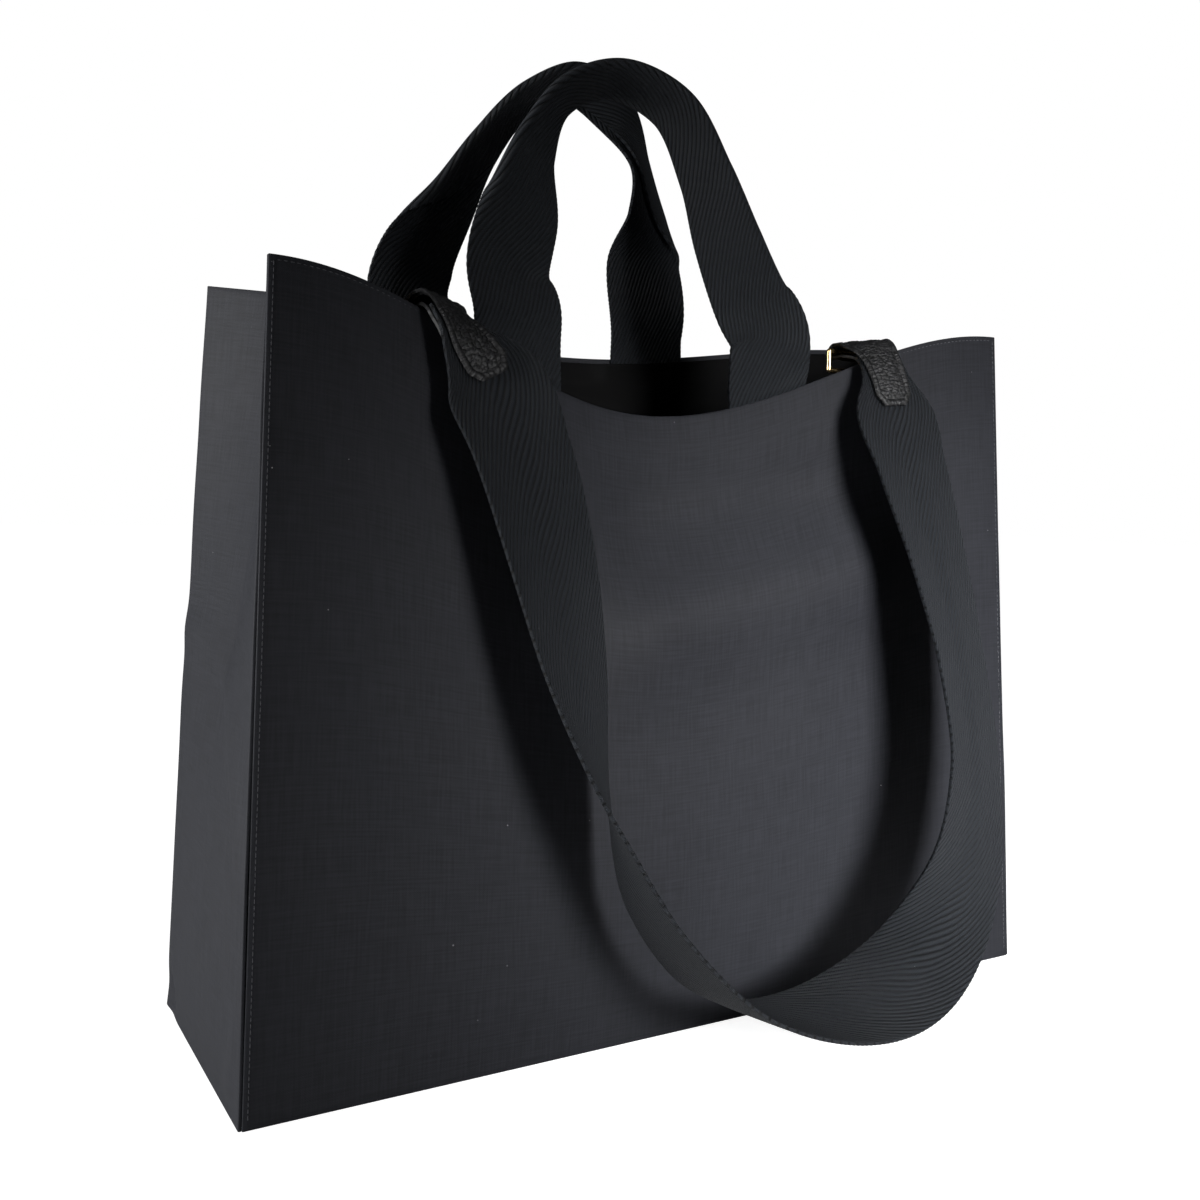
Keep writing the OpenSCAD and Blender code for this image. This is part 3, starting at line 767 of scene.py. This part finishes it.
def curveAt(stations, t):
    i = min(len(stations) - 2, max(0, int(t)))
    u, d = t - i, gapTo(stations, i)
    h = (2 * u ** 3 - 3 * u * u + 1, (u ** 3 - 2 * u * u + u) * d,
         3 * u * u - 2 * u ** 3, (u ** 3 - u * u) * d)
    parts = (stations[i], slopeAt(stations, i), stations[i + 1], slopeAt(stations, i + 1))
    return [sum(w * q for w, q in zip(h, column)) for column in zip(*parts)]


# the ribbon's middle, its direction across and its normal, at even steps of length
class Ribbon:
    def __init__(self, stations, arch, first, last, count):
        self.rows = []
        fine = 24 * len(stations)
        ts = [first + (last - first) * i / fine for i in range(fine + 1)]
        dense = [Vector(curveAt(stations, t)[:3]) for t in ts]
        reach = [0.0]
        for p, q in zip(dense, dense[1:]):
            reach.append(reach[-1] + (q - p).length)
        self.length = reach[-1]
        j = 0
        for i in range(count + 1):
            want = self.length * i / count
            while j < fine - 1 and reach[j + 1] < want:
                j += 1
            span = reach[j + 1] - reach[j]
            t = ts[j] + (ts[j + 1] - ts[j]) * ((want - reach[j]) / span if span else 0)
            now = curveAt(stations, t)
            ahead = Vector(curveAt(stations, min(len(stations) - 1, t + 0.02))[:3])
            behind = Vector(curveAt(stations, max(0, t - 0.02))[:3])
            run = (ahead - behind).normalized()
            lean = now[5] * math.pi / 2
            out = Vector((0, -math.cos(lean), math.sin(lean)))
            flatDir = (run.cross(out) * arch).normalized()
            outDir = (out - out.dot(run) * run).normalized()
            turn = math.radians(now[3])
            cross = math.cos(turn) * flatDir + math.sin(turn) * outDir
            self.rows.append((Vector(now[:3]), cross, run.cross(cross), now[4], t))

    def row(self, w):
        return self.rows[round(w * (len(self.rows) - 1))]


# shoulder strap
eyeBoxes = {-1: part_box("left_eye"), 1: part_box("right_eye")}
hookX = {side: (box[0].x + box[1].x) / 2 / mm for side, box in eyeBoxes.items()}
barY = (eyeBoxes[-1][0].y + eyeBoxes[-1][1].y) / 2 / mm
barZ = eyeBoxes[-1][1].z / mm - 1.5
strap = {"width": 50, "tabWidth": 26, "tabLength": 50, "rimTurn": 18, "leather": 1.5, "rows": 1500,
         "across": 16, "cup": 0.9, "scallop": 0.32, "scallopPitch": 2.6}
overY = faceY(hookX[1], 1, -1) - 1.5


def tabStation(side, along, out, down, turn, width, lean):
    drift = 17 if side < 0 else 1
    return [hookX[side] + along * drift, overY - out * strap["tabLength"], barZ - down * strap["tabLength"],
            turn, width, lean]


def tabStations(side):
    wide, narrow = strap["width"], strap["tabWidth"]
    return [
        [hookX[side], barY - 5, barZ, 0, narrow - 2, 1],
        tabStation(side, 0, 0, 0, strap["rimTurn"], narrow - 2, 1),
        tabStation(side, 0.12, 0.13, 0.12, strap["rimTurn"] - 2, narrow - 2, 0.7),
        tabStation(side, 0.45, 0.25, 0.32, 10, narrow + 4, 0.2),
        tabStation(side, 1, 0.37, 0.62, 5, wide - 2, 0)]


# the hanging loop, from the left tab down across the front and up to the right one: x, y, z, turn
hang = [[-107, -83, 290, 6], [-97, -93, 245, 14], [-86, -100, 190, 32], [-75, -110, 134, 62],
        [-58, -126, 80, 90], [-22, -138, 40, 98], [32, -141, 26, 80], [84, -142, 38, 46],
        [124, -136, 77, 8], [142, -124, 132, -14], [142, -110, 190, -18], [134, -96, 247, -12],
        [126, -83, 292, -3]]
stations = tabStations(-1) + [p + [strap["width"], 0] for p in hang] + tabStations(1)[::-1]
lastStation = len(stations) - 1
strapRun = Ribbon(stations, 1, 1.5, lastStation - 1.5, strap["rows"])


# small even waves of the woven edge
def selvedge(s, along, edge):
    wave = abs(math.sin(math.pi * along / strap["scallopPitch"]))
    return math.copysign(strap["scallop"] * wave * edge, s)


# more columns near the edges than in the middle
def strapPlace(u, w):
    middlePoint, cross, normal, width, t = strapRun.row(w)
    k = 2 * u - 1
    s = math.copysign(abs(k) ** 0.8, k)
    edge = smooth(0.86, 1, abs(s))
    cup = strap["cup"] * ((1 - s * s) * smooth(30, 48, width) - 0.5)
    return middlePoint + cross * (s * width / 2 + selvedge(s, strapRun.length * w, edge)) + normal * cup


# the negative width slants the ribs the other way
strapFlat = (-strap["width"], strapRun.length)
shoulderStrap = clothGrid("shoulderStrap", strap["across"], strap["rows"], strapFlat, strapPlace, True)
thicken(shoulderStrap, bag["webbing"], 0, 0.5)
dress(shoulderStrap, webbingWeave, "shoulder_strap", "webbing", "shoulder_strap")
print("strap made", round(strapRun.length), "mm")


# leather tabs: one strip from under the webbing, round the bar and down over it to a cut tip
tab = {"across": 48, "topRows": 130, "turnRows": 14, "lowRows": 30, "loop": 2.7, "offset": 1.95,
       "edgeHigh": 0.5, "groove": 0.45, "puff": 0.7, "cut": 6, "tipShare": 0.62, "pinch": 0.06,
       "taper": 0.2, "margin": 2.5}
tabStitch = {"pitch": 1.9, "long": 1.5, "wide": 0.36}


def tabHalfWidth(fromTip, fromFold):
    cut = tab["tipShare"] + (1 - tab["tipShare"]) * smooth(-3.2, tab["cut"] * 0.9, fromTip)
    straight = min(1.0, tab["tipShare"] + (1 - tab["tipShare"]) * fromTip / tab["cut"])
    pinch = 1 - tab["pinch"] * (1 - smooth(0, 15, fromFold))
    taper = 1 - tab["taper"] * smooth(4, 26, fromFold)
    return strap["tabWidth"] / 2 * min(straight, max(cut, straight)) * pinch * taper


def makeStrapTab(name, side, node):
    reach = 4  # stations that the tab lies over
    if side < 0:
        top = Ribbon(stations, 1, 0, reach, tab["topRows"])
    else:
        top = Ribbon(stations, 1, lastStation - reach, lastStation, tab["topRows"])
        top.rows.reverse()
    rows = []
    low = int(tab["topRows"] * 0.8)
    for i in range(tab["lowRows"] + 1):
        p, cross, normal, width, t = top.rows[round(low * (1 - i / tab["lowRows"]))]
        rows.append((p + normal * tab["offset"], cross, normal, -1))
    centre = Vector((hookX[side], barY, barZ))
    for i in range(1, tab["turnRows"]):
        a = -math.pi / 2 + math.pi * i / tab["turnRows"]
        out = Vector((0, math.cos(a), math.sin(a)))
        rows.append((centre + out * tab["loop"], top.rows[0][1], -out, 0))
    for i in range(tab["topRows"] + 1):
        p, cross, normal, width, t = top.rows[i]
        near = bump(i, 0, 8) * (tab["loop"] - tab["offset"])
        rows.append((p - normal * (tab["offset"] + near), cross, normal, 1))
    lengths = [0.0]
    for a, b in zip(rows, rows[1:]):
        lengths.append(lengths[-1] + (b[0] - a[0]).length)
    whole = lengths[-1]
    fold = lengths[tab["lowRows"] + tab["turnRows"]]

    def place(u, w):
        i = round(w * (len(rows) - 1))
        p, cross, normal, part = rows[i]
        k = 2 * u - 1
        fromTip = whole - lengths[i]
        fromFold = abs(lengths[i] - fold)
        if part < 0:
            return p + cross * (k * tabHalfWidth(lengths[i], fromFold) * 0.96)
        half = tabHalfWidth(fromTip, fromFold)
        point = p + cross * (k * half)
        inside = min(half * (1 - abs(k)), fromTip * 0.9)
        ridge = tab["edgeHigh"] * smooth(1.9, 0.9, inside) * smooth(-0.1, 0.5, inside)
        groove = tab["groove"] * bump(inside, 2.5, 0.5)
        puff = tab["puff"] * smooth(2.6, 8, inside) * smooth(0, 10, fromTip)
        grain = 0.42 * noise.noise(Vector((k * half / 2.6, lengths[i], side * 5)))
        grain += 0.3 * noise.noise(Vector((k * half / 1.1, lengths[i] / 0.9, side * 9)))
        grain *= smooth(1.5, 3.5, inside)
        crown = 1.3 * bump(fromFold, 3, 9) * (1 - k * k) if part > 0 else 0
        crease = 0.5 * bump(fromFold, 9, 2.2) * (0.6 + 0.4 * math.sin(9 * k + side))
        return point - normal * (ridge - groove + puff + grain + crown - crease)
    piece = clothGrid(name, tab["across"], len(rows) - 1, (26, whole), place, side < 0)
    thicken(piece, strap["leather"], -1, 0.35)
    dress(piece, tabLeather, "shoulder_strap", "leather", node)
    start = tab["lowRows"] + tab["turnRows"] + 12
    tip = len(rows) - 5  # the row of stitches that crosses the tip

    def edgePoint(i, sign):
        p, cross, normal, part = rows[i]
        fromTip = whole - lengths[i]
        half = tabHalfWidth(fromTip, abs(lengths[i] - fold))
        lift = 0.12 + 0.3 * smooth(0, 6, fromTip)
        return p + cross * sign * max(0.5, half - tab["margin"]) - normal * lift, -normal
    path = [edgePoint(i, -1) for i in range(start, tip, 2)]
    path += [edgePoint(tip, -0.5), edgePoint(tip, 0.5)]
    path += [edgePoint(i, 1) for i in range(tip - 2, start, -2)]
    stitchRows(name + "Stitches", [path], "shoulder_strap", "leather", tabStitch)


makeStrapTab("leftStrapTab", -1, "left_strap_tab")
makeStrapTab("rightStrapTab", 1, "right_strap_tab")
print("strap tabs made")


# short leather loops that hold the rings inside the mouth
ringTab = {"thick": 1.3, "loop": 2.5, "ringWire": 1.5, "leafGap": 1.7, "endTaper": 0.12}


# one third of the strip goes up behind, one third round the ring and one third down in front
def makeRingTab(name, side, node):
    low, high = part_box(node)
    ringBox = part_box("left_ring" if side < 0 else "right_ring")
    ringZ = ringBox[0].z / mm + ringTab["ringWire"]
    half = (high.x - low.x) / 2 / mm
    footZ = low.z / mm
    leafY = low.y / mm + 0.75
    loop = ringTab["loop"]

    def place(u, w):
        k = 2 * u - 1
        q = w * 3
        if q < 1:
            y, z = leafY, footZ + (ringZ - footZ) * q
        elif q < 2:
            a = math.pi * (2 - q)
            y, z = max(leafY, barY + loop * math.cos(a)), ringZ + loop * math.sin(a)
        else:
            y = barY + loop + (leafY + ringTab["leafGap"] - barY - loop) * smooth(0, 0.8, q - 2)
            z = ringZ - (ringZ - footZ - 1) * (q - 2)
        x = hookX[side] + k * half * (1 - ringTab["endTaper"] * smooth(2.7, 3, q))
        return x, y + 0.15 * ripple(x, w * 60, side, 3), z
    piece = clothGrid(name, 24, 66, (24, 44), place)
    thicken(piece, ringTab["thick"], -1, 0.3)
    dress(piece, tabLeather, "bag", "leather", node)


makeRingTab("leftRingTab", -1, "left_ring_tab")
makeRingTab("rightRingTab", 1, "right_ring_tab")


# The outer part of the webbing turns back along a crease that runs in from its outer edge. Columns follow
# the crease: nearly half of them lie before it, a quarter go round it and the rest cover the turned part.
def creaseOf(fold):
    half = handle["width"] / 2
    return half - fold * (half + 0.5), handle["bend"] + handle["roll"] * (1 - fold)


def acrossAt(u, fold):
    half = handle["width"] / 2
    crease, bend = creaseOf(fold)
    turned = min(half, crease + math.pi * bend)
    first, second = handle["toCrease"], handle["toTurned"]
    if u < first:
        return -half + (crease + half) * u / first
    if u < second:
        return crease + (turned - crease) * (u - first) / (second - first)
    return turned + (half - turned) * (u - second) / (1 - second)


# place across and out of the webbing's plane, for a point at s across the flat webbing
def foldedSection(s, fold, flap):
    half = handle["width"] / 2
    crease, bend = creaseOf(fold)
    reach = crease + bend * math.sin(min(math.pi / 2, (half - crease) / bend))
    shift = (half - reach) / 2
    t = s - crease
    if t <= 0:
        return s + shift, 0.0
    a = min(math.pi, t / bend)
    rest = max(0, t - math.pi * bend)
    return crease + bend * math.sin(a) - rest + shift, flap * bend * (1 - math.cos(a))


def makeHandle(name, side, body, *nodes):
    stations = handleStations(side)
    run = Ribbon(stations, -1, 0, len(stations) - 1, handle["rows"])
    half = handle["width"] / 2

    def foldAt(w):
        return min(1, max(0, run.row(w)[3]))

    def place(u, w):
        p, cross, normal, spread, t = run.row(w)
        fold = foldAt(w)
        s = acrossAt(u, fold)
        a, b = foldedSection(s, fold, -1 if side < 0 else 1)
        edge = smooth(0.93, 1, abs(s) / half)
        wavy = selvedge(s, run.length * w, edge) * (1 - fold)
        return heldFlat(p + cross * (a + wavy) + normal * b, side)
    piece = clothGrid(name, handle["across"], handle["rows"], (handle["width"], run.length), place, True,
                      lambda u, w: acrossAt(u, foldAt(w)))
    thicken(piece, bag["webbing"], 0, 0.5)
    dress(piece, webbingWeave, None, "webbing", *nodes)
    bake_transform(piece)
    print(name, "made", round(run.length), "mm")


makeHandle("frontHandle", -1, "front_handle", "front_handle", "front_handle_ends")
makeHandle("backHandle", 1, "back_handle", "back_handle", "back_handle_ends")

# gold hardware keeps the frame's own shapes
for part in ("ring", "eye", "hook", "gate", "gate_pin"):
    for side in ("left", "right"):
        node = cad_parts[side + "_" + part]
        node.data.materials.clear()
        node.data.materials.append(gold)
bpy.data.objects.remove(stitchModel)

# floor, light and camera
deselectAll()
bpy.ops.mesh.primitive_plane_add(size=14, location=(0, 0, 0))
floor = bpy.context.object
floor.name = "floor"
# a pale sweep whose own glow, seen by the camera only, rises with distance to meet the backdrop
floorLook = {"tone": (0.6, 0.6, 0.6, 1), "near": 0.84, "far": 1.0}
floorMaterial, tree, shader, coords = startMaterial("paleFloor", 0.8, 0, 0, 0.0)
shader.inputs["Base Color"].default_value = floorLook["tone"]
shader.inputs["Emission Color"].default_value = (1, 1, 1, 1)
away = tree.nodes.new("ShaderNodeVectorMath")
away.operation = "LENGTH"
tree.links.new(coords.outputs["Object"], away.inputs[0])
glow = addRange(tree, away.outputs["Value"], 0.3, 0.62, floorLook["near"], floorLook["far"])
seen = tree.nodes.new("ShaderNodeLightPath")
shown = addMath(tree, "MULTIPLY", glow, seen.outputs["Is Camera Ray"])
tree.links.new(shown, shader.inputs["Emission Strength"])
floor.data.materials.append(floorMaterial)

scene = bpy.context.scene
world = bpy.data.worlds.new("studio")
scene.world = world
world.use_nodes = True
nodes, links = world.node_tree.nodes, world.node_tree.links
light = {"world": 0.012, "seen": 1.0, "key": 1.9, "left": 22, "top": 1.6}
rays = nodes.new("ShaderNodeLightPath")
background = nodes["Background"]
background.inputs["Color"].default_value = (1, 1, 1, 1)
strength = nodes.new("ShaderNodeMapRange")
strength.inputs["To Min"].default_value = light["world"]
strength.inputs["To Max"].default_value = light["seen"]
links.new(rays.outputs["Is Camera Ray"], strength.inputs["Value"])
links.new(strength.outputs[0], background.inputs["Strength"])


def addSoftbox(name, place, target, width, height, power, spread=180):
    data = bpy.data.lights.new(name, "AREA")
    data.shape = "RECTANGLE"
    data.size, data.size_y, data.energy = width, height, power
    data.spread = math.radians(spread)
    lamp = bpy.data.objects.new(name, data)
    scene.collection.objects.link(lamp)
    lamp.location = place
    lamp.rotation_euler = (Vector(target) - Vector(place)).to_track_quat("-Z", "Y").to_euler()


# the front light is a narrow beam on the lower right of the front; the others are wide and soft
addSoftbox("front", (0.08, -1.0, 0.42), (0.17, -0.07, 0.12), 0.35, 0.35, light["key"], 42)
addSoftbox("left", (-1.3, 0.05, 0.3), (-0.23, 0.02, 0.18), 0.8, 0.5, light["left"])
addSoftbox("overhead", (0.0, -0.5, 1.9), (0, -0.1, 0.2), 1.6, 1.6, light["top"])

# place in millimetres, angles in degrees, lens in millimetres on a 36 mm sensor
view = {"place": (-360.2, -589.4, 275.3), "yaw": 30.154, "pitch": -5.042, "roll": 1.4535, "lens": 37.73}
data = bpy.data.cameras.new("camera")
data.sensor_width = 36
data.lens = view["lens"]
data.clip_start = 0.05
camera = bpy.data.objects.new("camera", data)
scene.collection.objects.link(camera)
yaw, pitch, roll = (math.radians(view[k]) for k in ("yaw", "pitch", "roll"))
ahead = Vector((math.sin(yaw) * math.cos(pitch), math.cos(yaw) * math.cos(pitch), math.sin(pitch)))
level = Vector((math.cos(yaw), -math.sin(yaw), 0))
upward = level.cross(ahead)
right = math.cos(roll) * level + math.sin(roll) * upward
top = -math.sin(roll) * level + math.cos(roll) * upward
camera.matrix_world = (Matrix.Translation(Vector(view["place"]) * mm)
                       @ Matrix((right, top, -ahead)).transposed().to_4x4())
scene.camera = camera
scene.view_settings.view_transform = "Standard"
print("floor, lights and camera set")
